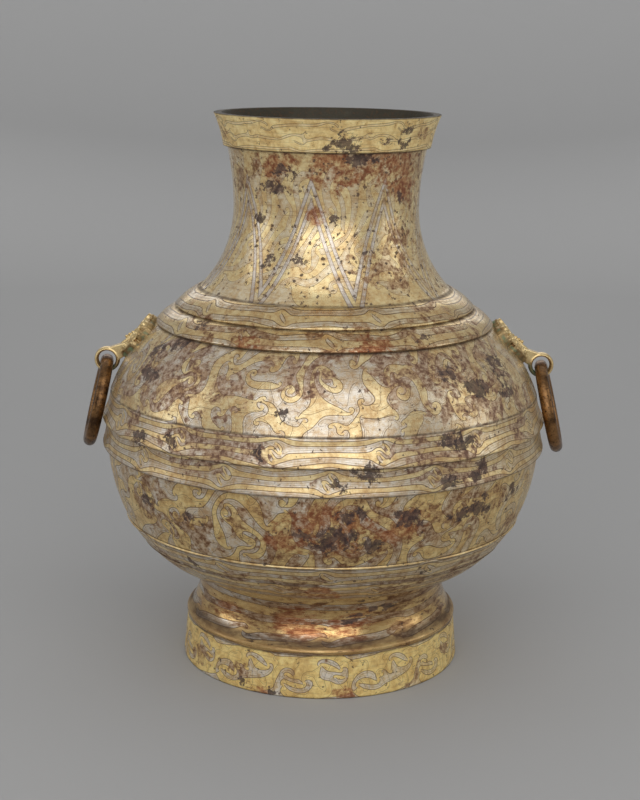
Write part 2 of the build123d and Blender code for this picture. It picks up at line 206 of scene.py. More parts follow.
def scrolls(tree, along, up, radius, rows, stripes, share, line):
    """Engraved cloud scrolls. Each row is a ring of curl centres: how many stand round the jar (an even
    number), the shift along it, height, coil and turn. Bands wind into every centre and flow on to the next,
    and stripes run level between. Hands back how silvered a spot is and how deep in an engraved outline."""
    phase = add(tree, "Math MULTIPLY", [up, stripes])
    slope_along = 0.0
    slope_up = stripes
    for count, shift, height, coil, turn in rows:
        unit = count / (2 * radius)
        offset = shift * math.pi / unit
        x2 = add(tree, "Math MULTIPLY_ADD", [along, 2 * unit, -2 * unit * offset])
        y2 = add(tree, "Math MULTIPLY_ADD", [up, 2 * unit, -2 * unit * height])
        x1 = add(tree, "Math MULTIPLY", [x2, 0.5])
        y1 = add(tree, "Math MULTIPLY", [y2, 0.5])
        spread = add(tree, "Math SUBTRACT", [add(tree, "Math COSH", [y2]), add(tree, "Math COSINE", [x2])])
        spread = add(tree, "Math MAXIMUM", [spread, 0.0001])
        pull_along = add(tree, "Math DIVIDE", [add(tree, "Math SINE", [x2]), spread])
        pull_up = add(tree, "Math DIVIDE", [add(tree, "Math SINH", [y2]), spread])
        slope_along = add(tree, "Math MULTIPLY_ADD", [pull_along, coil * unit, slope_along])
        slope_along = add(tree, "Math MULTIPLY_ADD", [pull_up, -turn * unit, slope_along])
        slope_up = add(tree, "Math MULTIPLY_ADD", [pull_up, coil * unit, slope_up])
        slope_up = add(tree, "Math MULTIPLY_ADD", [pull_along, turn * unit, slope_up])
        reach = add(tree, "Math LOGARITHM", [spread, math.e])
        phase = add(tree, "Math MULTIPLY_ADD", [reach, coil / 2, phase])
        lift = add(tree, "Math MULTIPLY", [add(tree, "Math TANH", [y1]), add(tree, "Math COSINE", [x1])])
        angle = add(tree, "Math ARCTAN2", [lift, add(tree, "Math SINE", [x1])])
        phase = add(tree, "Math MULTIPLY_ADD", [angle, turn, phase])
    slope = add(tree, "CombineXYZ", [slope_along, slope_up])
    slope = add(tree, "VectorMath LENGTH", [slope], out="Value")
    slope = add(tree, "Math MAXIMUM", [slope, 0.02])
    wave = add(tree, "Math PINGPONG", [phase, math.pi])
    inside = add(tree, "Math ADD", [wave, -math.pi * share])
    inside = add(tree, "Math DIVIDE", [inside, slope])
    silver = add(tree, "MapRange", [inside, -0.25, 0.25])
    outline = add(tree, "Math ABSOLUTE", [inside])
    outline = add(tree, "MapRange", [outline, 0.5 * line, 1.3 * line, 1.0, 0.0])
    # A second, fainter line follows the first inside each band, as a double outline
    inner = add(tree, "Math ABSOLUTE", [add(tree, "Math ADD", [inside, -5.5 * line])])
    inner = add(tree, "MapRange", [inner, 0.3 * line, 1.1 * line, 0.4, 0.0])
    outline = add(tree, "Math MAXIMUM", [outline, inner])
    # Each spiral ends in a small plain eye
    plain = add(tree, "MapRange", [slope, 1.7, 2.3, 1.0, 0.0])
    silver = add(tree, "Math MULTIPLY", [silver, plain])
    outline = add(tree, "Math MULTIPLY", [outline, plain])
    return silver, outline


def with_tracery(tree, along, up, radius, rows, line, outline):
    """The outline with a thin tracery of small curls, which fills the ground between the large scrolls."""
    tracery = scrolls(tree, along, up, radius, rows, stripes=0.0, share=0.5, line=line)[1]
    tracery = add(tree, "Math MULTIPLY", [tracery, 0.75])
    return add(tree, "Math MAXIMUM", [tracery, outline])


def stains(tree, flat, spots, ragged, scattered, full, soft):
    """Ragged patches: chosen spots (place round the jar, height, size, all in millimetres) and a thin scatter
    elsewhere. The noise decides where a patch holds, so its inside stays lacy and its edge torn."""
    bias = scattered
    for along, height, size in spots:
        gap = add(tree, "VectorMath SUBTRACT", [flat, (along, height, 0)])
        gap = add(tree, "VectorMath MULTIPLY", [gap, (0.75, 1.2, 0)])
        gap = add(tree, "VectorMath LENGTH", [gap], out="Value")
        near = add(tree, "Math MULTIPLY_ADD", [gap, -1 / size, 1.0])
        bias = add(tree, "Math MAXIMUM", [near, bias])
    bias = add(tree, "Math MINIMUM", [bias, full])
    heap = add(tree, "Math MULTIPLY_ADD", [ragged, 3.2, -1.6])
    heap = add(tree, "Math ADD", [heap, bias])
    return add(tree, "MapRange", [heap, 0.0, soft], interpolation_type="SMOOTHSTEP")


def finish_gilding(
    tree, place, turn, up, radius, silver, outline, brown, dark, shaded_levels, gloss, bright,
    rust=(), swarms=0.47, gilt=("#ECD7A4", "#CDA86C"), tarnish=("#B28C62", "#765238"),
):
    """Fire gilding and silvering on bronze, worn thin: pale gold and warm grey silver with engraved lines,
    brown where the gilding is rubbed through, purple-black corrosion, rust-red bloom and small pits.
    Spots are given as degrees round from the front, height and size; bright is the share of bare metal,
    a lower value of swarms spreads more pits, and gilt and tarnish hold a pale and a deep tone each."""
    # The wall is uneven over about 45 mm, rubbed in places of about 13 mm and mottled every 4 mm
    broad = add(tree, "TexNoise", {"Vector": place, "Scale": 0.022, "Detail": 1.5})
    fine = {"Vector": place, "Scale": 0.075, "Detail": 7.0, "Roughness": 0.7, "Distortion": 0.5}
    fine = add(tree, "TexNoise", fine)
    mottle = add(tree, "TexNoise", {"Vector": place, "Scale": 0.26, "Detail": 5.0, "Roughness": 0.7})
    # Polishing drew fine streaks round the jar, about a millimetre apart
    streaks = add(tree, "VectorMath MULTIPLY", [place, (0.06, 0.06, 1.0)])
    streaks = add(tree, "TexNoise", {"Vector": streaks, "Scale": 0.9, "Detail": 4.0, "Roughness": 0.65})
    # Gold varies from pale to deep yellow, silver from cream to pinkish grey
    ragged = add(tree, "Mix", {0: 0.5, 2: fine, 3: mottle})
    tone = add(tree, "MapRange", [ragged, 0.4, 0.62])
    colour = add(tree, "Mix", {0: tone, 6: gilt[0], 7: gilt[1]}, **in_colour)
    grey = add(tree, "Mix", {0: tone, 6: "#DED5C8", 7: "#BAAC9E"}, **in_colour)
    worn = add(tree, "MapRange", [ragged, 0.42, 0.58, 0.95, 0.4])
    # The silver is thinner on the right-hand side, where the gold shows through it
    side = add(tree, "MapRange", [add(tree, "Math SINE", [turn]), 0.2, 0.8, 1.0, 0.45])
    worn = add(tree, "Math MULTIPLY", [worn, side])
    silvered = add(tree, "Math MULTIPLY", [silver, worn])
    # Thin rubbed haze, streaks and specks show the bronze under the gilding
    haze = add(tree, "MapRange", [fine, 0.45, 0.7, 0.0, 0.75])
    haze = add(tree, "Math MULTIPLY", [haze, mottle])
    rubbed = add(tree, "MapRange", [streaks, 0.53, 0.72, 0.0, 0.5])
    specks = add(tree, "MapRange", [mottle, 0.6, 0.7, 0.0, 0.6])
    rubbed = add(tree, "Math MAXIMUM", [rubbed, specks])
    lines = add(tree, "Math MULTIPLY", [outline, 0.85])
    coats = [(silvered, grey), (haze, "#A07A5E"), (rubbed, "#86664A"), (lines, "#543A24")]
    # Where each spot lies on the unrolled surface, shaken so that no patch is round
    shaken = {"Vector": place, "Scale": 0.06, "Detail": 4.0, "Roughness": 0.7}
    shaken = add(tree, "VectorMath SUBTRACT", [add(tree, "TexNoise", shaken, out="Color"), (0.5, 0.5, 0.5)])
    flat = add(tree, "CombineXYZ", [add(tree, "Math MULTIPLY", [turn, radius]), up])
    flat = add(tree, "VectorMath MULTIPLY_ADD", [shaken, (44, 26, 0), flat])
    # The thin silver tarnishes first, so the brown follows the drawing; silver laid on double stays clean
    thin = add(tree, "Math PINGPONG", [silver, 1.0])
    lobes = {"Vector": place, "Scale": 0.085, "Detail": 3.5, "Roughness": 0.55, "Distortion": 0.8}
    drawn = add(tree, "Math MULTIPLY_ADD", [thin, 0.09, add(tree, "TexNoise", lobes)])
    clumps = {"Vector": place, "Scale": 0.14, "Detail": 7.0, "Roughness": 0.75, "Distortion": 0.7}
    clumps = add(tree, "TexNoise", clumps)
    brown_cover = add(tree, "MapRange", [mottle, 0.38, 0.58, 0.42, 0.95])
    blotch = add(tree, "MapRange", [mottle, 0.4, 0.6])
    patches = {}
    for stain, spots, noise, scattered, full, soft, strength, tones in (
        ("brown", brown, drawn, -0.7, 0.1, 0.34, brown_cover, tarnish),
        ("rust", rust, ragged, -1.5, 0.4, 0.6, 0.82, ("#BE8256", "#84492E")),
        ("dark", dark, clumps, -0.56, 0.3, 0.25, 0.88, ("#5C4338", "#2C2629")),
    ):
        if spots:
            spots = [(math.pi / 180 * radius * way, high, size) for way, high, size in spots]
            patch = stains(tree, flat, spots, noise, scattered, full, soft)
            patches[stain] = add(tree, "Math MULTIPLY", [patch, strength])
            tone = add(tree, "Mix", {0: blotch, 6: tones[0], 7: tones[1]}, **in_colour)
            coats.append((patches[stain], tone))
    # Small pits, one to three millimetres across, in loose swarms
    pitted = add(tree, "TexNoise", {"Vector": place, "Scale": 0.4, "Detail": 2.0}, out="Color")
    pitted = add(tree, "VectorMath MULTIPLY_ADD", [pitted, (3.5, 3.5, 3.5), place])
    pits = add(tree, "TexVoronoi", {"Vector": pitted, "Scale": 0.22}, out="Distance")
    swarm = add(tree, "MapRange", [clumps, swarms, swarms + 0.17, 0.0, 0.4])
    pits = add(tree, "Math SUBTRACT", [swarm, pits])
    pits = add(tree, "MapRange", [pits, 0.0, 0.08, 0.0, 0.85])
    # Painted shade: dark bands are painted along the listed heights, in the angles under the lips and along
    # the edges of the bands, where shadow falls, broken up by the noise
    painted_shade = 0.0
    for height, span in shaded_levels:
        gap = add(tree, "Math ABSOLUTE", [add(tree, "Math ADD", [up, -height])])
        near = add(tree, "MapRange", [gap, 0.2 * span, span, 0.85, 0.0])
        painted_shade = add(tree, "Math MAXIMUM", [painted_shade, near])
    patchy = add(tree, "MapRange", [fine, 0.3, 0.6, 0.5, 1.0])
    painted_shade = add(tree, "Math MULTIPLY", [painted_shade, patchy])
    for cover, coat in coats + [(pits, "#49352B"), (painted_shade, "#3D2A1C")]:
        colour = add(tree, "Mix", {0: cover, 6: colour, 7: coat}, **in_colour)
    # Old gilding is bright metal under a thin dull skin; the oxide and the painted shade are not metal at all
    oxide_and_shade = add(tree, "Math MAXIMUM", [patches["dark"], pits])
    oxide_and_shade = add(tree, "Math MAXIMUM", [oxide_and_shade, painted_shade])
    metal = add(tree, "MapRange", [oxide_and_shade, 0.0, 1.0, bright, 0.1])
    dull = add(tree, "Math MULTIPLY_ADD", [patches["brown"], 0.2, gloss])
    dull = add(tree, "Math MULTIPLY_ADD", [haze, 0.3, dull])
    rough = add(tree, "Mix", {0: oxide_and_shade, 2: dull, 3: 0.72})
    # Lines, oxide and the painted shade bands lie deep, and the metal between is mottled, streaked and uneven
    height = add(tree, "Math MULTIPLY", [outline, -0.35])
    for layer, depth in ((oxide_and_shade, -0.6), (mottle, 0.22), (streaks, 0.2), (broad, 5.0)):
        height = add(tree, "Math MULTIPLY_ADD", [layer, depth, height])
    metal_skin(tree, colour, metal, rough, height, strength=0.35, depth=0.6)


foot_rows = [
    (12, 0.0, 27, 1.6, 2), (12, 0.3, 24, -1.6, -2), (12, 0.5, 10, 1.6, 2), (12, 0.8, 13, -1.6, -2),
    (18, 0.3, 18, 1.0, 1), (18, 0.5, 18, -1.0, -1),
]
foot_tracery = [(40, 0.0, 29, 1.2, 1), (36, 0.5, 18, -1.2, 1), (44, 0.2, 7, 1.2, -1)]
radius = 114
foot_band_gilding, tree, place = new_finish("parcel_gilt_foot_band")
turn, along, swayed, up = round_the_jar(tree, place, radius, level=0, sway=2.0)
silver, outline = scrolls(tree, along, swayed, radius, foot_rows, stripes=0.35, share=0.58, line=0.28)
outline = with_tracery(tree, along, swayed, radius, foot_tracery, 0.2, outline)
finish_gilding(
    tree, place, turn, up, radius, silver, outline,
    brown=[
        (-34, 12, 8), (40, 8, 8), (-60, 12, 8), (60, 19, 8), (104, 20, 14), (-118, 12, 12), (150, 16, 14),
    ],
    dark=[(-18, 4, 4), (-33, 6, 3)],
    rust=[(10, 3, 8), (-24, 3, 6)],
    shaded_levels=[(0, 1.6), (35.0, 1.2)],
    gloss=0.42, bright=0.22, gilt=("#F6DE96", "#DDB564"),
)
radius = 104
foot_waist_gilding, tree, place = new_finish("rubbed_gilding_foot_waist")
turn, along, swayed, up = round_the_jar(tree, place, radius, level=40, sway=1.0)
place = add(tree, "VectorMath MULTIPLY", [place, (0.4, 0.4, 1.2)])
waist_rows = [(10, 0.0, 5, 1.2, 1), (10, 0.1, 9, -1.2, -1)]
silver, outline = scrolls(tree, along, swayed, radius, waist_rows, stripes=0.5, share=0.6, line=0.26)
finish_gilding(
    tree, place, turn, up, radius, silver, outline,
    brown=[
        (-65, 15, 12), (-9, 19, 22), (32, 24, 24), (60, 20, 20), (-33, 22, 14), (12, 14, 14),
        (-130, 20, 24), (125, 18, 22),
    ],
    dark=[(14, 22, 5), (22, 24, 5), (30, 27, 5)],
    rust=[(-9, 18, 18), (14, 17, 16), (-50, 18, 14)],
    # Painted shade where the foot meets the bowl, and a wide painted dark reflection in the lower hollow of
    # the waist, just above the bead
    shaded_levels=[(42.0, 2.2), (3.0, 6.0)],
    gloss=0.16, bright=0.85, gilt=("#EAC98C", "#C4985A"),
)

bare_inside, tree, place = new_finish("dark_bronze_inside")
# Ungilded cast bronze inside the jar and foot: dull, nearly black, with olive and earth in the pores
pores = add(tree, "TexNoise", {"Vector": place, "Scale": 0.06, "Detail": 6.0, "Roughness": 0.7})
grit = add(tree, "TexNoise", {"Vector": place, "Scale": 0.45, "Detail": 4.0, "Roughness": 0.6})
colour = add(tree, "Mix", {0: pores, 6: "#2A2620", 7: "#4C4636"}, **in_colour)
earth = add(tree, "MapRange", [grit, 0.52, 0.68])
colour = add(tree, "Mix", {0: earth, 6: colour, 7: "#5A4634"}, **in_colour)
rough = add(tree, "MapRange", [grit, 0.3, 0.7, 0.5, 0.8])
metal_skin(tree, colour, 0.45, rough, grit, strength=0.5, depth=0.6)

for finish in (bare_inside, foot_band_gilding, foot_waist_gilding):
    foot.data.materials.append(finish)
for face in foot.data.polygons:
    reach = math.hypot(face.center.x, face.center.y)
    outward = (face.normal.x * face.center.x + face.normal.y * face.center.y) / reach
    if outward > 0.05:
        face.material_index = 1 if face.center.z < foot_band_height / 1000 else 2
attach(foot, "jar")
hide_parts("foot_ring")

# Vessel body
# Bowl, shoulder and neck are one lost-wax bronze casting, turned and polished outside, with two girdles
# round the belly, two collars under the neck and a plain band at the mouth, then gilded and silvered.
wall = 3.2
lip_thickness = 1.3
mouth_height = 450.0
neck_waist = (74.6, 376.9)
neck_foot = (102.5, 309.9)
collar_middle = (118.5, 296.0)
shoulder = (134.5, 282.1)
girdle_top = (174.5, 227.2)
girdle_middle = (177.3, 205.5)
girdle_foot = (177.3, 183.8)
lip_radius = 181.3
base_band_top = (161.7, 124.0)
underside = (131.9, 90.0)
seat = (seat_radius, foot_height)
underside_swell = 1.0
base_band_swell = 2.6
lower_belly_swell = 3.3
upper_belly_swell = 4.8
collar_proud = 2.6
rim_band_foot = 424.2
mouth_radius = 90.7
rim_band_radius = 82.9
spigot_foot = 78.0
bowl_floor = 82.5
groove_height = 105.9
bead_radius = 1.1
girdle_foot_root = 179.3
girdle_foot_top = 178.3
girdle_middle_root = 179.8
girdle_crown = (174.7, 226.8)
belly_crown = (134.95, 281.7)
shoulder_root = 136.5
collar_crown = (119.8, 296.0)
collar_root = 120.5
neck_crown = (103.1, 310.5)
neck_start = 311.0
neck_flare_out = 13.2
neck_flare_rise = 73.1


def neck_radius(height):
    """Radius of the neck: two round sweeps that meet upright at the waist."""
    drop = neck_waist[1] - height
    out, rise = neck_foot[0] - neck_waist[0], neck_waist[1] - neck_foot[1]
    lower = (out**2 + rise**2) / (2 * out)
    flare = (neck_flare_out**2 + neck_flare_rise**2) / (2 * neck_flare_out)
    sweep = lower if drop > 0 else flare
    return neck_waist[0] + sweep - math.sqrt(sweep**2 - drop**2)


outside = [(0, spigot_foot), (spigot_radius * 0.5, spigot_foot), (spigot_radius, spigot_foot)]
outside += [(spigot_radius, foot_height), seat]
outside += swollen(seat, underside, underside_swell, 8)
band_side = swollen(underside, base_band_top, base_band_swell, 34)
for spot in band_side[:-1]:
    # A fine groove runs half way up the striped band
    if abs(spot[1] - groove_height) < 0.6:
        outside += [(spot[0] + out, spot[1] + rise) for out, rise in ((0.3, -0.5), (-0.6, 0.5), (0.5, 0.8))]
    elif abs(spot[1] - groove_height) > 1.6 and spot[1] < base_band_top[1] - 1.6:
        outside.append(spot)
# A fine bead parts the striped band from the lower belly
for step in range(9):
    lean = math.radians(-75 + 20 * step)
    out, rise = 0.2 + bead_radius * math.cos(lean), bead_radius * math.sin(lean)
    outside.append((base_band_top[0] + out, base_band_top[1] + rise))
belly_side = swollen(base_band_top, girdle_foot, lower_belly_swell, 26)
outside += [spot for spot in belly_side if spot[1] > base_band_top[1] + 1.8]
for root, level, top, swell in (
    (girdle_foot_root, girdle_foot[1], (girdle_foot_top, girdle_middle[1]), -0.9),
    (girdle_middle_root, girdle_middle[1], girdle_crown, -1.3),
):
    outside += [(root, level), (lip_radius, level), (lip_radius, level + lip_thickness)]
    outside += swollen(outside[-1], top, swell, 9)
outside.append(girdle_top)
outside += swollen(girdle_top, belly_crown, upper_belly_swell, 26)
for root, corner, top, swell in (
    (shoulder_root, shoulder, collar_crown, 1.5),
    (collar_root, collar_middle, neck_crown, 1.2),
):
    outside += [(root, corner[1]), (corner[0] + collar_proud, corner[1] + lip_thickness)]
    outside += swollen(outside[-1], top, swell, 10)
for step in range(40):
    height = neck_start + (rim_band_foot - neck_start) * step / 39
    outside.append((neck_radius(height), height))
outside.append((rim_band_radius, rim_band_foot))
outside += swollen(outside[-1], (mouth_radius, mouth_height), -0.9, 10)

bowl_corners = [seat, underside, base_band_top, girdle_foot, girdle_middle, girdle_top, shoulder, neck_foot]
bowl_swells = [underside_swell, base_band_swell, lower_belly_swell, 0, 0, upper_belly_swell, 0]
inner_corners = []
for number, corner in enumerate(bowl_corners):
    before = bowl_corners[max(number - 1, 0)]
    after = bowl_corners[min(number + 1, len(bowl_corners) - 1)]
    run = math.hypot(after[0] - before[0], after[1] - before[1])
    inward = wall * (after[1] - before[1]) / run
    upward = wall * (after[0] - before[0]) / run
    inner_corners.append((corner[0] - inward, corner[1] + upward))
inside = [(share * spigot_radius, bowl_floor) for share in (0, 0.4, 0.8)] + inner_corners[:1]
for start, end, swell in zip(inner_corners, inner_corners[1:], bowl_swells):
    inside += swollen(start, end, swell, 10)
for step in range(1, 25):
    height = neck_foot[1] + (mouth_height - neck_foot[1]) * step / 24
    inside.append((neck_radius(height) - wall, height))
jar = turned("gilded_jar", outside + inside[::-1], 256, False)
soften_edges(jar, 0.28)

upper_rows = [
    (18, 0.0, 50, 3.0, -1), (16, 0.3, 24, 3.0, 1), (12, 0.7, 38, -5.0, 1), (20, 0.1, 10, -2.0, -1),
    (20, 0.5, 61, -2.0, 1), (16, 0.8, 15, 2.0, -1), (14, 0.4, 31, -2.0, 1), (24, 0.2, 44, 1.5, 1),
    (22, 0.6, 18, -1.5, 1), (26, 0.9, 56, 1.5, -1), (24, 0.3, 4, 1.5, 1),
]
radius = 158
upper_gilding, tree, place = new_finish("parcel_gilt_upper_belly")
turn, along, swayed, up = round_the_jar(tree, place, radius, level=227, sway=4.0)
rise = add(tree, "Math MULTIPLY", [swayed, 1.24])
silver, outline = scrolls(tree, along, rise, radius, upper_rows, stripes=0.0, share=0.46, line=0.3)
upper_tracery = [
    (44, 0.0, 12, 1.6, 1), (40, 0.5, 27, -1.6, 1), (46, 0.2, 44, 1.6, -1), (42, 0.7, 60, -1.6, 1),
]
outline = with_tracery(tree, along, rise, radius, upper_tracery, 0.22, outline)
finish_gilding(
    tree, place, turn, up, radius, silver, outline,
    brown=[
        (45, 35, 32), (-50, 32, 28), (-28, 22, 16), (-64, 12, 10), (24, 49, 22), (-7, 44, 20), (64, 10, 12),
        (118, 30, 34), (150, 22, 22), (-112, 36, 26), (-146, 24, 32),
    ],
    dark=[
        (59, 34, 11), (38, 39, 7), (45, 26, 9), (-61, 43, 7), (-57, 29, 8), (-53, 50, 6), (58, 19, 7),
        (-10, 15, 4), (122, 34, 10), (-150, 20, 10), (-108, 40, 7),
    ],
    shaded_levels=[(0.2, 1.6), (54.5, 1.8)],
    gloss=0.22, bright=0.6, gilt=("#ECD9AA", "#CDA96E"), tarnish=("#B08A68", "#6E4E3E"),
)

girdle_rows = [
    (14, 0.0, 11, 1.6, 2), (14, 0.11, 11, -1.6, -2), (14, 0.055, 17, 1.2, 1), (14, 0.055, 5, -1.2, -1),
    (14, 0.5, 32, 1.6, 2), (14, 0.61, 32, -1.6, -2), (14, 0.555, 38, 1.2, 1), (14, 0.555, 26, -1.2, -1),
]
radius = 179
girdle_gilding, tree, place = new_finish("parcel_gilt_girdles")
turn, along, swayed, up = round_the_jar(tree, place, radius, level=184, sway=0.6)
silver, outline = scrolls(tree, along, swayed, radius, girdle_rows, stripes=0.85, share=0.45, line=0.28)
finish_gilding(
    tree, place, turn, up, radius, silver, outline,
    brown=[
        (29, 31, 24), (-33, 30, 20), (-18, 36, 14), (-57, 35, 9), (58, 31, 13), (41, 3, 15), (108, 30, 22),
        (146, 8, 24), (-124, 12, 26), (-156, 34, 18),
    ],
    dark=[
        (32, 35, 9), (38, 34, 7), (31, 8, 8), (41, 11, 8), (-40, 31, 6), (10, 18, 8), (5, 8, 5),
        (-16, 30, 5), (-51, 26, 6), (112, 33, 8), (142, 10, 9), (-128, 14, 8),
    ],
    shaded_levels=[(0.0, 0.9), (20.9, 1.3), (43.2, 1.0)],
    gloss=0.28, bright=0.6, tarnish=("#AE8A6C", "#6C4E40"),
)

lower_rows = [
    (12, 0.2, 42, 4.0, -1), (14, 0.3, 20, 4.0, 1), (10, 0.9, 31, -5.0, 1), (16, 0.6, 54, -2.5, 1),
    (16, 0.1, 8, -2.5, -1), (18, 0.8, 14, 2.0, 1), (24, 0.4, 48, 1.5, 1), (22, 0.2, 36, -1.5, -1),
    (24, 0.7, 25, 1.5, 1),
]
radius = 171
lower_gilding, tree, place = new_finish("parcel_gilt_lower_belly")
turn, along, swayed, up = round_the_jar(tree, place, radius, level=124, sway=4.0)
silver, outline = scrolls(tree, along, swayed, radius, lower_rows, stripes=0.0, share=0.5, line=0.3)
lower_tracery = [
    (46, 0.3, 10, 1.6, 1), (42, 0.8, 24, -1.6, 1), (44, 0.1, 38, 1.6, -1), (48, 0.6, 52, -1.6, 1),
]
outline = with_tracery(tree, along, swayed, radius, lower_tracery, 0.22, outline)
finish_gilding(
    tree, place, turn, up, radius, silver, outline,
    brown=[
        (4, 32, 34), (22, 34, 22), (-50, 36, 22), (-36, 21, 18), (40, 38, 22), (-18, 38, 12), (64, 12, 12),
        (-11, 15, 14), (100, 30, 30), (138, 36, 26), (-104, 26, 26), (-148, 34, 34),
    ],
    dark=[
        (2, 25, 13), (21, 39, 10), (7, 45, 8), (-5, 29, 6), (-50, 36, 8), (-35, 30, 7), (43, 40, 9),
        (37, 36, 7), (57, 44, 7), (12, 20, 8), (104, 34, 9), (-144, 30, 11),
    ],
    rust=[(2, 34, 30), (19, 34, 20), (-10, 22, 12), (-146, 36, 20)],
    shaded_levels=[(59.6, 1.6), (1.2, 1.2)],
    gloss=0.34, bright=0.58, gilt=("#EED69A", "#CFA662"),
)

radius = 150
base_gilding, tree, place = new_finish("parcel_gilt_base_band")
turn, along, swayed, up = round_the_jar(tree, place, radius, level=82, sway=1.2)
base_rows = [(12, 0.0, 36, 1.4, 1), (12, 0.1, 30, -1.4, -1), (12, 0.5, 19, 1.2, 1), (12, 0.6, 15, -1.2, -1)]
silver, outline = scrolls(tree, along, swayed, radius, base_rows, stripes=0.9, share=0.5, line=0.28)
finish_gilding(
    tree, place, turn, up, radius, silver, outline,
    brown=[
        (-27, 26, 9), (25, 19, 12), (-6, 24, 12), (50, 22, 14), (-55, 24, 14), (115, 24, 16),
        (-130, 28, 18),
    ],
    dark=[(30, 34, 4), (-40, 30, 4)],
    rust=[(0, 12, 14)],
    shaded_levels=[(0.4, 1.6), (24.0, 1.1), (40.6, 0.9)],
    gloss=0.3, bright=0.6,
)

collar_rows = [
    (12, 0.0, 10, 1.4, 1), (12, 0.12, 4, -1.4, -1), (10, 0.5, 24, 1.4, 1), (10, 0.6, 19, -1.4, -1),
]
radius = 124
collar_gilding, tree, place = new_finish("parcel_gilt_collars")
turn, along, swayed, up = round_the_jar(tree, place, radius, level=282, sway=1.0)
silver, outline = scrolls(tree, along, swayed, radius, collar_rows, stripes=0.9, share=0.55, line=0.26)
silver = add(tree, "Math MULTIPLY", [silver, 0.75])
finish_gilding(
    tree, place, turn, up, radius, silver, outline,
    brown=[
        (-51, 12, 9), (48, 17, 14), (8, 4, 16), (-24, 4, 12), (59, 6, 9), (30, 3, 14), (-40, 3, 12),
        (112, 8, 16), (150, 20, 14), (-120, 16, 18),
    ],
    dark=[(-48, 10, 4), (35, 8, 4)],
    rust=[(-24, 2, 9), (14, 2, 12)],
    shaded_levels=[(0.0, 1.2), (13.6, 1.2), (28.6, 1.0)],
    gloss=0.2, bright=0.7,
)

radius = 80
spot_radius = 78
neck_gilding, tree, place = new_finish("parcel_gilt_neck")
turn, along, swayed, up = round_the_jar(tree, place, radius, level=310, sway=2.4)
neck_rows = [
    (16, 0.2, 14, 2.4, 1), (14, 0.6, 27, -2.4, 1), (18, 0.4, 88, 2.0, -1), (14, 0.1, 70, -2.4, -1),
    (16, 0.8, 40, 2.0, 1), (12, 0.3, 54, -2.0, 1), (20, 0.5, 102, -1.5, -1),
]
silver, outline = scrolls(tree, along, swayed, radius, neck_rows, stripes=0.0, share=0.55, line=0.2)
silver = add(tree, "Math MULTIPLY", [silver, 0.55])
outline = add(tree, "Math MULTIPLY", [outline, 0.7])
# Eight tall leaf points stand round the neck, each drawn with a double silver border
leaf_apex = 96.0
leaf_drop = 84.0
leaf_half_turn = math.radians(22.5)
leaf_lean = 0.33
shifted = add(tree, "Math ADD", [turn, math.radians(9 + 180)])
from_apex = add(tree, "Math PINGPONG", [shifted, leaf_half_turn])
leaf_edge = add(tree, "Math MULTIPLY_ADD", [from_apex, -leaf_drop / leaf_half_turn, leaf_apex])
depth = add(tree, "Math SUBTRACT", [leaf_edge, up])
depth = add(tree, "Math MULTIPLY", [depth, leaf_lean])
for inner, outer in ((0.0, 2.6), (5.4, 8.0)):
    middle = (inner + outer) / 2
    gap = add(tree, "Math ABSOLUTE", [add(tree, "Math ADD", [depth, -middle])])
    border = add(tree, "MapRange", [gap, outer - middle - 0.2, outer - middle + 0.2, 1.0, 0.0])
    clear = add(tree, "Math SUBTRACT", [1.0, border])
    outline = add(tree, "Math MULTIPLY", [outline, clear])
    border = add(tree, "Math MULTIPLY", [border, 1.7])
    silver = add(tree, "Math MAXIMUM", [silver, border])
    rim = add(tree, "Math ABSOLUTE", [add(tree, "Math ADD", [gap, middle - outer])])
    rim = add(tree, "MapRange", [rim, 0.15, 0.5, 0.6, 0.0])
    outline = add(tree, "Math MAXIMUM", [outline, rim])
finish_gilding(
    tree, place, turn, up, spot_radius, silver, outline,
    brown=[
        (-33, 98, 18), (31, 24, 16), (-15, 104, 18), (17, 108, 20), (58, 91, 18), (45, 102, 24),
        (-62, 90, 12), (50, 50, 14), (40, 30, 12), (110, 100, 26), (150, 60, 20), (-110, 96, 22),
        (-148, 40, 24),
    ],
    dark=[
        (-35, 87, 9), (-25, 99, 6), (20, 108, 9), (51, 78, 7), (-41, 62, 5), (-31, 30, 6), (8, 62, 4),
        (26, 37, 5), (-16, 32, 4), (114, 92, 8), (-144, 44, 7),
    ],
    rust=[(6, 102, 22), (42, 104, 24), (54, 84, 15), (-7, 67, 8), (-30, 104, 14)],
    shaded_levels=[(114.0, 1.4), (0.8, 1.4)],
    gloss=0.18, bright=0.5, swarms=0.41, gilt=("#EFDCA8", "#D6B274"),
)

radius = 86
rim_gilding, tree, place = new_finish("gilt_mouth_band")
turn, along, swayed, up = round_the_jar(tree, place, radius, level=424, sway=1.0)
rim_rows = [
    (10, 0.0, 19, 1.6, 1), (10, 0.16, 19, -1.6, -1), (8, 0.6, 8, 1.2, 1), (8, 0.72, 8, -1.2, -1),
    (22, 0.3, 14, 0.9, 1), (22, 0.42, 14, -0.9, -1),
]
silver, outline = scrolls(tree, along, swayed, radius, rim_rows, stripes=0.8, share=0.78, line=0.2)
silver = add(tree, "Math MULTIPLY", [silver, 0.3])
finish_gilding(
    tree, place, turn, up, radius, silver, outline,
    brown=[(-70, 12, 8), (60, 12, 7)],
    dark=[(9, 9, 7), (40, 8, 5), (31, 9, 3), (46, 17, 4), (12, 3, 5), (2, 2, 4)],
    shaded_levels=[(0.2, 1.0), (25.8, 0.9)],
    gloss=0.42, bright=0.2, gilt=("#F8E4A8", "#E0BC72"),
)

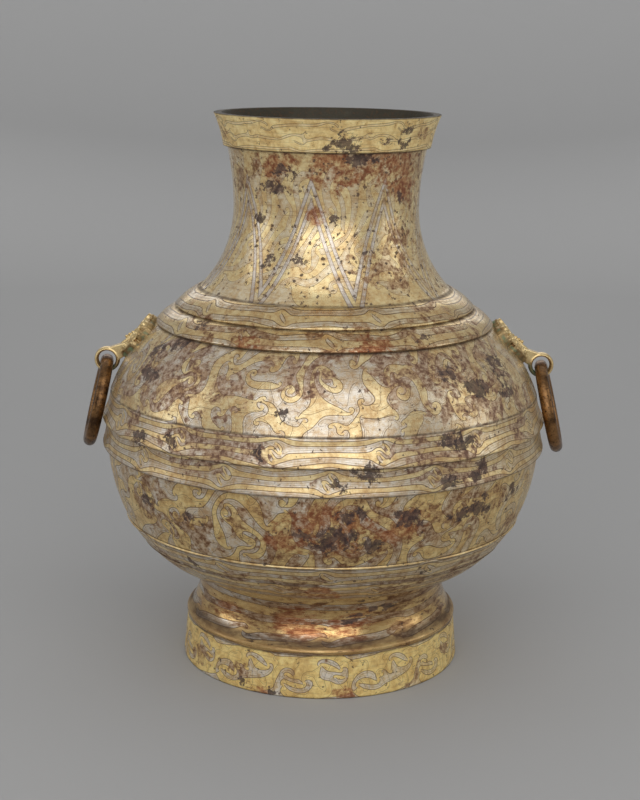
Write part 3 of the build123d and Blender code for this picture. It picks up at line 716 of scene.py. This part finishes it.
jar_finishes = [
    (0.0, base_gilding),
    (base_band_top[1] + 0.9, lower_gilding),
    (girdle_foot[1] - 0.1, girdle_gilding),
    (girdle_top[1] - 0.2, upper_gilding),
    (shoulder[1] - 0.2, collar_gilding),
    (neck_crown[1] + 0.1, neck_gilding),
    (rim_band_foot - 0.1, rim_gilding),
]
jar.data.materials.append(bare_inside)
for level, finish in jar_finishes:
    jar.data.materials.append(finish)
for face in jar.data.polygons:
    reach = math.hypot(face.center.x, face.center.y)
    outward = (face.normal.x * face.center.x + face.normal.y * face.center.y) / max(reach, 1e-6)
    height = face.center.z * 1000
    lip_top = face.normal.z > 0.6 and height > mouth_height - 0.6
    bowl_bottom = (face.normal.z > 0.95 and height < underside[1]) or height < spigot_foot + 0.2
    hidden = outward < -0.05 or lip_top or bowl_bottom
    if not hidden:
        face.material_index = sum(1 for level, finish in jar_finishes if height > level)
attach(jar, "jar")
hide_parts("vessel_body")

# Animal masks
# Each mask is a small relief casting with horns, brows, round eyes and curled cheeks, thickly gilded.
# Its nose runs down into a strap loop for the ring, and two rivets hold it to the shoulder.
mask_origin = Vector((151.73, 0, 265.81))
mask_normal = Vector((0.753971, 0, 0.656908))
mask_upward = Vector((-0.656908, 0, 0.753971))
mask_top = 20.0
mask_bottom = 19.0
mask_plate = 2.6
rivet_spot = (19.5, 0.5)
loop_centre = Vector((178.43, 0, 247.96))
strap_middle = 8.8
strap_thickness = 3.4
loop_width = 9.5
nose_half_width = 4.3
mask_bedding = 0.7
shoulder_curve_round = 205.0
shoulder_curve_up = 122.0
eye_spot = (9.5, -0.2)
eye_radius = 4.4
horn_spot = (17.6, 14.2)
cheek_spot = (14.4, -8.9)
modelled_width = 54.0
modelled_height = 40.2
modelled_lift = 0.5
granule_spacing = 2.7
granule_inset = 0.93
casting_grain = 0.42

mask_corners = [(5.2, 14.4), (23.4, 15.6), (21.8, 2.4), (21.8, -6.1), (10.4, -15.2)]
mask_edge = [(0.0, mask_top), mask_corners[0]]
for start, end, swell, count in zip(mask_corners, mask_corners[1:], (-4.8, -3.4, -3.6, -1.85), (10, 8, 6, 6)):
    mask_edge += swollen(start, end, swell, count)
mask_edge += [(7.8, -mask_bottom), (0.0, -mask_bottom)]


def mask_inset(across, high):
    """How far a spot lies inside the mask's edge, negative outside it."""
    across = abs(across)
    nearest = 1e9
    crossings = 0
    for (a0, b0), (a1, b1) in zip(mask_edge, mask_edge[1:]):
        run, rise = a1 - a0, b1 - b0
        share = ((across - a0) * run + (high - b0) * rise) / (run * run + rise * rise)
        share = min(1.0, max(0.0, share))
        nearest = min(nearest, math.hypot(across - a0 - share * run, high - b0 - share * rise))
        if (b0 > high) != (b1 > high) and across < a0 + (high - b0) / rise * run:
            crossings += 1
    return nearest if crossings % 2 else -nearest


def bump(gap, width, height):
    """A rounded ridge of the given half width and height at a distance from its crest."""
    return height * math.cos(min(gap / width, 1.0) * math.pi / 2) ** 1.2 if gap < width else 0.0


def curl(across, high, centre, size, pitch, height, hand):
    """A spiral ridge that winds in to its centre."""
    dx, dy = across - centre[0], high - centre[1]
    gap = math.hypot(dx, dy)
    if gap > size:
        return 0.0
    wind = gap / pitch - hand * math.atan2(dy, dx) / (2 * math.pi)
    ridge = 0.5 + 0.5 * math.cos(2 * math.pi * wind)
    return height * (0.25 + 0.75 * ridge) * min(1.0, (size - gap) / 1.2)


def mask_relief(across, high, inset):
    """Height of the modelled face above the mask's flat seat."""
    side = abs(across)
    rise = mask_plate * min(1.0, 0.35 + 0.65 * (max(inset, 0.0) / 1.4) ** 0.5)
    # Brow: a heavy ridge that climbs from the nose and falls to the temple
    share = min(1.0, max(0.0, (side - 2.6) / 19.8))
    brow = 3.2 + 2.0 * share + 24.0 * share * (1 - share)
    brow -= 0.0 if share < 1 else (side - 22.4)
    relief = bump(abs(high - brow), 2.8, 4.4) if 2.0 < side < 23 else 0.0
    relief = max(relief, bump(abs(high - brow + 3.3), 1.1, 2.2) if 5.0 < side < 20 else 0.0)
    # Horn curls, cheek curls and the crest on the forehead
    relief = max(relief, curl(side, high, horn_spot, 5.8, 2.6, 4.6, 1))
    relief = max(relief, curl(side, high, cheek_spot, 5.4, 2.4, 4.0, -1))
    crest = side / 4.2 + abs(high - 13.2) / 6.4
    relief = max(relief, 4.0 * min(1.0, 1.6 * (1 - crest)) if crest < 1 else 0.0)
    # Round eye in its lid, with a drilled pupil
    eye = math.hypot(side - eye_spot[0], high - eye_spot[1])
    relief = max(relief, math.sqrt(max(0.0, eye_radius**2 - eye**2)))
    relief = max(relief, bump(abs(eye - 5.1), 1.2, 2.6))
    relief -= bump(eye, 1.4, 1.4)
    # Nose ridge, deepest at the snout
    along_nose = min(1.0, max(0.0, (8.0 - high) / 20.0))
    nose = bump(side, 3.6 + 1.4 * along_nose, 2.6 + 3.6 * along_nose) if high < 8.5 else 0.0
    relief = max(relief, nose)
    relief = max(relief, bump(math.hypot(side - 4.6, high + 13.0), 3.0, 4.0))
    # Fine hair lines combed outwards over cheeks and temples
    comb = math.cos(2.4 * (high + 0.35 * side)) * 0.35
    relief = max(relief, 0.9 + comb)
    rise += relief * min(1.0, max(0.0, inset) / 2.0)
    # Flat seats for the two rivet heads
    seat_gap = math.hypot(side - rivet_spot[0], high - rivet_spot[1])
    if seat_gap < 5.0:
        sunk = min(1.0, max(0.0, (seat_gap - 3.3) / 1.7))
        rise = 1.3 + (rise - 1.3) * sunk
    return rise


def shoulder_sink(across, high):
    """How far the jar's curved shoulder drops away behind the mask's flat seat."""
    return across * across / (2 * shoulder_curve_round) + high * high / (2 * shoulder_curve_up)


def on_mask(across, high, rise):
    """A spot in space, in millimetres, from its place on the mask's flat seat and its rise above it."""
    return mask_origin + mask_upward * high + mask_normal * rise + Vector((0, across, 0))


def on_all_faces(operator, **settings):
    """Runs one mesh operator on the whole of the active piece."""
    bpy.ops.object.mode_set(mode="EDIT")
    bpy.ops.mesh.select_all(action="SELECT")
    operator(**settings)
    bpy.ops.object.mode_set(mode="OBJECT")


bpy.ops.object.select_all(action="DESELECT")
bpy.ops.mesh.primitive_grid_add(x_subdivisions=124, y_subdivisions=92, size=1)
right_mask = bpy.context.object
right_mask.name = right_mask.data.name = "right_animal_mask"
bpy.ops.transform.resize(value=(modelled_width / 1000, modelled_height / 1000, 1))
bpy.ops.object.transform_apply(location=False, rotation=False, scale=True)
on_all_faces(bpy.ops.mesh.select_all, action="DESELECT")
for point in right_mask.data.vertices:
    across, high = point.co.x * 1000, point.co.y * 1000 + modelled_lift
    inset = mask_inset(across, high)
    point.select = inset < 0
    point.co = (across, high, mask_relief(across, high, inset))
bpy.ops.object.mode_set(mode="EDIT")
bpy.ops.mesh.delete(type="VERT")
bpy.ops.mesh.select_all(action="SELECT")
bpy.ops.mesh.extrude_region_move(TRANSFORM_OT_translate={"value": (0, 0, 0)})
bpy.ops.object.mode_set(mode="OBJECT")
for point in right_mask.data.vertices:
    if point.select:
        point.co.z = -shoulder_sink(point.co.x, point.co.y) - mask_bedding
for point in right_mask.data.vertices:
    point.co = on_mask(point.co.x, point.co.y, point.co.z) / 1000

# The snout stands off the plate and meets the strap all round its back
snout_side = [on_mask(0, 6.0, 2.4), on_mask(0, -11.4, 7.0)]
for degrees in range(72, 188, 23):
    lean = math.radians(degrees)
    snout_side.append(loop_centre + Vector((math.cos(lean), 0, math.sin(lean))) * strap_middle)
snout_side.append(on_mask(0, -15.0, -1.6))
bpy.ops.object.select_all(action="DESELECT")
bpy.ops.mesh.primitive_circle_add(vertices=len(snout_side), radius=0.01, fill_type="NGON")
snout = bpy.context.object
for point, spot in zip(snout.data.vertices, snout_side):
    point.co = (spot + Vector((0, -nose_half_width, 0))) / 1000
across_nose = {"value": (0, 2 * nose_half_width / 1000, 0)}
on_all_faces(bpy.ops.mesh.extrude_region_move, TRANSFORM_OT_translate=across_nose)
on_all_faces(bpy.ops.mesh.normals_make_consistent, inside=False)

# The strap loop is a flat oval bar bent round
bpy.ops.object.select_all(action="DESELECT")
bpy.ops.mesh.primitive_torus_add(
    major_segments=64, minor_segments=24,
    major_radius=strap_middle / 1000, minor_radius=strap_thickness / 2000,
)
strap = bpy.context.object
bpy.ops.transform.resize(value=(1, 1, loop_width / strap_thickness))
bpy.ops.object.transform_apply(location=False, rotation=False, scale=True)
for point in strap.data.vertices:
    point.co = Vector((point.co.x, point.co.z, point.co.y)) + loop_centre / 1000
on_all_faces(bpy.ops.mesh.normals_make_consistent, inside=False)

# Granules cast along the edge and down the nose
granules = []
walked = 0.0
for (a0, b0), (a1, b1) in zip(mask_edge, mask_edge[1:]):
    length = math.hypot(a1 - a0, b1 - b0)
    while walked < length:
        share = walked / length
        across, high = a0 + (a1 - a0) * share, b0 + (b1 - b0) * share
        granules.append((granule_inset * across, granule_inset * high, 3.3, 1.25))
        walked += granule_spacing
    walked -= length
granules += [(0.0, high, 4.6 + 0.28 * (9.0 - high), 1.4) for high in (9.0, 6.0, 3.0, 0.0, -3.0, -6.0)]
beads = []
for across, high, rise, size in granules:
    for hand in (1, -1) if across > 0.5 else (1,):
        if high > -16.0:
            spot = on_mask(hand * across, high, rise) / 1000
            bpy.ops.mesh.primitive_ico_sphere_add(subdivisions=2, radius=size / 1000, location=spot)
            beads.append(bpy.context.object)

# All of it is one casting, so the parts are melted together and softened
pick(right_mask)
for part in beads + [snout, strap]:
    part.select_set(True)
bpy.ops.object.join()
melt = right_mask.modifiers.new("one casting", "REMESH")
melt.mode = "VOXEL"
melt.voxel_size = casting_grain / 1000
bpy.ops.object.modifier_apply(modifier=melt.name)
# Only what hangs together with the loop is kept, so no speck is left inside the casting
tip = max(right_mask.data.vertices, key=lambda point: point.co.x).index
on_all_faces(bpy.ops.mesh.select_all, action="DESELECT")
right_mask.data.vertices[tip].select = True
bpy.ops.object.mode_set(mode="EDIT")
bpy.ops.mesh.select_mode(type="VERT")
bpy.ops.mesh.select_linked()
bpy.ops.mesh.select_all(action="INVERT")
bpy.ops.mesh.delete(type="VERT")
bpy.ops.object.mode_set(mode="OBJECT")
soften = right_mask.modifiers.new("softened", "SMOOTH")
soften.factor = 0.5
soften.iterations = 2
bpy.ops.object.modifier_apply(modifier=soften.name)
bpy.ops.object.shade_smooth()

mask_gilding, tree, place = new_finish("thick_gilding_masks")
# Thick fire gilding over relief: bright on the high places, brown in the hollows, verdigris at the edge
either = add(tree, "VectorMath ABSOLUTE", [place])
level = add(tree, "VectorMath DOT_PRODUCT", [either, mask_normal], out="Value")
level = add(tree, "Math ADD", [level, -mask_origin.dot(mask_normal)])
cloud = add(tree, "TexNoise", {"Vector": place, "Scale": 0.12, "Detail": 5.0, "Roughness": 0.65})
grain = add(tree, "TexNoise", {"Vector": place, "Scale": 0.9, "Detail": 3.0, "Roughness": 0.6})
gold = add(tree, "Mix", {0: cloud, 6: "#EBD9A6", 7: "#C4A066"}, **in_colour)
hollow = add(tree, "MapRange", [level, 3.0, 6.0, 0.85, 0.0])
ragged = add(tree, "MapRange", [cloud, 0.35, 0.6, 0.35, 1.0])
hollow = add(tree, "Math MULTIPLY", [hollow, ragged])
colour = add(tree, "Mix", {0: hollow, 6: gold, 7: "#6A4A2A"}, **in_colour)
bloom = add(tree, "MapRange", [level, 1.0, 3.0, 0.8, 0.0])
patchy = add(tree, "MapRange", [cloud, 0.48, 0.62])
bloom = add(tree, "Math MULTIPLY", [bloom, patchy])
colour = add(tree, "Mix", {0: bloom, 6: colour, 7: "#6E8A6C"}, **in_colour)
metal = add(tree, "MapRange", [bloom, 0.0, 1.0, 0.75, 0.1])
rough = add(tree, "MapRange", [hollow, 0.0, 0.75, 0.26, 0.55])
metal_skin(tree, colour, metal, rough, grain, strength=0.3, depth=0.3)
right_mask.data.materials.clear()
right_mask.data.materials.append(mask_gilding)

left_mask = right_mask.copy()
left_mask.data = right_mask.data.copy()
left_mask.name = left_mask.data.name = "left_animal_mask"
bpy.context.scene.collection.objects.link(left_mask)
pick(left_mask)
for point in left_mask.data.vertices:
    point.co.x = -point.co.x
on_all_faces(bpy.ops.mesh.flip_normals)
for mask, node in ((right_mask, "right_mask"), (left_mask, "left_mask")):
    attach(mask, "jar")
    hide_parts(node)

# Rings
# Two plain cast bronze rings, closed through the snout loops and never gilded, with blotches of brighter
# and darker brown from handling. The rivets that hold the masks are bare bronze too.
bare_bronze, tree, place = new_finish("bare_bronze_rings")
blotch = add(tree, "TexNoise", {"Vector": place, "Scale": 0.07, "Detail": 5.0, "Roughness": 0.65})
grain = add(tree, "TexNoise", {"Vector": place, "Scale": 0.55, "Detail": 4.0, "Roughness": 0.6})
tone = add(tree, "MapRange", [blotch, 0.36, 0.62])
colour = add(tree, "Mix", {0: tone, 6: "#4A3421", 7: "#9A7248"}, **in_colour)
spots = add(tree, "MapRange", [grain, 0.56, 0.68])
colour = add(tree, "Mix", {0: spots, 6: colour, 7: "#33231B"}, **in_colour)
rough = add(tree, "MapRange", [grain, 0.3, 0.7, 0.22, 0.42])
metal_skin(tree, colour, 0.9, rough, grain, strength=0.4, depth=0.5)
for node in ("left_ring", "right_ring", "left_mask_rivets", "right_mask_rivets"):
    piece = frame["nodes"][node]
    piece.data.materials.clear()
    piece.data.materials.append(bare_bronze)

# Studio
# A plain pale grey sweep turned round the jar, one large soft light in front and above,
# and weaker soft panels in front, at the sides and behind.
sweep_flat = 1500
sweep_curve = 1800
sweep = [(0, 0), (500, 0), (1000, 0), (sweep_flat, 0)]
for step in range(1, 25):
    lean = math.radians(90 * step / 24)
    sweep.append((sweep_flat + sweep_curve * math.sin(lean), sweep_curve - sweep_curve * math.cos(lean)))
sweep.append((sweep_flat + sweep_curve, 2600))
floor = turned("studio_floor", sweep, 96, False)
on_all_faces(bpy.ops.mesh.flip_normals)
bpy.ops.object.shade_smooth()
floor_paper, tree, place = new_finish("grey_studio_paper")
# Matt paper, a little paler up the far wall so that the ground reads as one even grey
far = add(tree, "VectorMath LENGTH", [place], out="Value")
far = add(tree, "MapRange", [far, 1800, 3400])
grey = add(tree, "Mix", {0: far, 6: "#ACACAC", 7: "#E0E0E0"}, **in_colour)
add(tree, "OutputMaterial", {"Surface": add(tree, "BsdfDiffuse", {"Color": grey})})
floor.data.materials.append(floor_paper)

scene = bpy.context.scene
scene.world = bpy.data.worlds.new("studio")
scene.world.use_nodes = True
scene.world.node_tree.nodes["Background"].inputs["Color"].default_value = linear("#B0B0B0")
jar_middle = Vector((0, 0, 0.25))


def soft_panel(name, where, width, height, power):
    """One soft box that faces the middle of the jar."""
    lamp = bpy.data.lights.new(name, "AREA")
    lamp.shape = "RECTANGLE"
    lamp.size = width
    lamp.size_y = height
    lamp.energy = power
    box = bpy.data.objects.new(name, lamp)
    box.location = where
    box.rotation_euler = (jar_middle - Vector(where)).to_track_quat("-Z", "Y").to_euler()
    box.visible_camera = False
    scene.collection.objects.link(box)


soft_panel("front_soft_box", (0, -1.45, 1.35), 2.3, 1.7, 15)
soft_panel("front_fill", (0, -2.3, 0.55), 3.0, 1.5, 13)
soft_panel("left_soft_box", (-1.9, -0.2, 0.9), 1.0, 1.4, 4)
soft_panel("right_soft_box", (1.9, -0.2, 0.9), 1.0, 1.4, 4)
soft_panel("back_soft_box", (0.0, 1.8, 1.3), 2.2, 1.4, 8)

eye = bpy.data.cameras.new("photograph")
eye.sensor_width = 36
eye.lens = 73.08
camera = bpy.data.objects.new("photograph", eye)
camera.location = (-0.0029, -1.310, 0.5179)
tilt = Matrix.Rotation(math.radians(77.0), 3, "X") @ Matrix.Rotation(math.radians(0.8), 3, "Z")
camera.rotation_euler = tilt.to_euler()
scene.collection.objects.link(camera)
bpy.context.scene.camera = camera
scene.view_settings.view_transform = "Standard"
